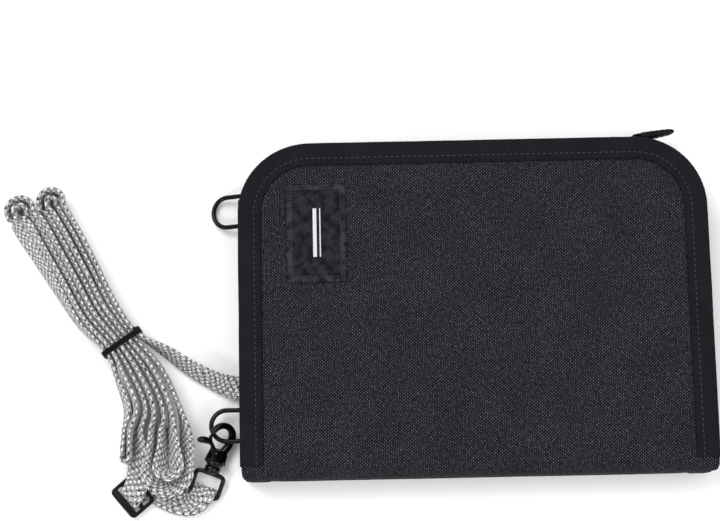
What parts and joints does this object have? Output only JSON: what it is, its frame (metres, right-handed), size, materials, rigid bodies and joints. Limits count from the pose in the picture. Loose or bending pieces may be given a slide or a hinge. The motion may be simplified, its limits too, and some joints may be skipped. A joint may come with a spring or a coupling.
{
  "type": "neck pouch wallet",
  "caption": "Black zip-around travel wallet with bound edges, pockets inside, D-rings, trigger hook and a wound melange neck strap.",
  "frame": {"origin": "centre of the back panel's outer face, on which the wallet lies", "axes": "+X along the fold, towards the side without rings; +Y from the fold to the zipped top edge; +Z out through the front panel"},
  "size_m": [0.277, 0.1494, 0.0214],
  "materials": {
    "shell_fabric": "fine plain-weave black polyester, matte",
    "binding_tape": "black grosgrain binding with a stitch row",
    "tab_webbing": "black webbing",
    "lining_fabric": "smooth dark lining",
    "foam": "thin grey foam sheet",
    "rfid_shield": "metallised fabric",
    "zip_tape": "woven zipper tape",
    "zip_coil": "nylon coil",
    "label_border": "black woven label edge with stitching",
    "label_satin": "black satin label",
    "gunmetal": "dark nickel plating",
    "black_plastic": "moulded black plastic",
    "hook_enamel": "glossy black enamel on cast metal",
    "strap_webbing": "silver-grey and black melange braid",
    "tie_cord": "black tie"
  },
  "bodies": {
    "back_half": {"back_cover": "shell_fabric", "back_foam": "foam", "back_rfid_layer": "rfid_shield", "back_lining": "lining_fabric", "back_binding": "binding_tape", "back_zip_tape": "zip_tape", "back_zip_coil": "zip_coil", "document_sleeve": "lining_fabric", "passport_pocket": "lining_fabric", "zip_bottom_stop": "gunmetal", "back_top_stop": "gunmetal", "upper_ring_tab": "tab_webbing", "lower_ring_tab": "tab_webbing", "strap_anchor": "tab_webbing", "strap_tail": "strap_webbing", "strap_hank": "strap_webbing", "strap_adjuster_band": "strap_webbing", "strap_end_band": "strap_webbing", "strap_tie": "tie_cord", "triglide": "black_plastic", "swivel_eye": "hook_enamel"},
    "spine": {"spine_cover": "shell_fabric", "spine_lining": "lining_fabric"},
    "front_half": {"front_cover": "shell_fabric", "front_foam": "foam", "front_rfid_layer": "rfid_shield", "front_lining": "lining_fabric", "front_binding": "binding_tape", "front_zip_tape": "zip_tape", "front_zip_coil": "zip_coil", "front_top_stop": "gunmetal", "label_patch": "label_border", "label_insert": "label_satin", "note_pocket": "lining_fabric", "card_slot_1": "lining_fabric", "card_slot_2": "lining_fabric", "card_slot_3": "lining_fabric", "card_slot_4": "lining_fabric"},
    "zip_slider": {"slider_body": "gunmetal"},
    "zip_pull": {"pull_link": "gunmetal", "pull_grip": "black_plastic"},
    "upper_ring": {"upper_d_ring": "gunmetal"},
    "lower_ring": {"lower_d_ring": "gunmetal"},
    "hook": {"hook_body": "hook_enamel", "gate_pin": "hook_enamel", "gate_spring": "gunmetal"},
    "gate": {"hook_gate": "hook_enamel"}
  },
  "joints": [
    {"name": "spine_fold", "type": "hinge", "parent": "back_half", "child": "spine", "pos_m": [0, -0.0655, 0], "axis": [1, 0, 0], "range_deg": [0, 90]},
    {"name": "cover_open", "type": "hinge", "parent": "spine", "child": "front_half", "pos_m": [0, -0.0655, 0.02], "axis": [1, 0, 0], "range_deg": [0, 90]},
    {"name": "zip_slide", "type": "slide", "parent": "back_half", "child": "zip_slider", "axis": [-1, 0, 0], "range_m": [0, 0.114]},
    {"name": "pull_swing", "type": "hinge", "parent": "zip_slider", "child": "zip_pull", "pos_m": [0.0584, 0.06575, 0.01], "axis": [0, 0, 1], "range_deg": [-8, 160]},
    {"name": "upper_ring_swing", "type": "hinge", "parent": "back_half", "child": "upper_ring", "pos_m": [-0.0902, 0.0415, 0.0069], "axis": [0, 1, 0], "range_deg": [0, 95]},
    {"name": "lower_ring_swing", "type": "hinge", "parent": "back_half", "child": "lower_ring", "pos_m": [-0.0902, -0.0435, 0.0069], "axis": [0, 1, 0], "range_deg": [-2, 3]},
    {"name": "hook_swivel", "type": "hinge", "parent": "back_half", "child": "hook", "pos_m": [-0.10249, -0.05822, 0.00453], "axis": [0.3553, 0.9177, 0.1776], "range_deg": [-4, 30]},
    {"name": "gate_open", "type": "hinge", "parent": "hook", "child": "gate", "pos_m": [-0.10196, -0.05356, 0.00644], "axis": [-0.5764, 0.3647, -0.7313], "range_deg": [0, 20], "stiffness_Nm_per_rad": 0.02, "springref_deg": -20.05}
  ],
  "couplings": [
    {"joint": "cover_open", "follows": "spine_fold", "ratio": 1}
  ]
}
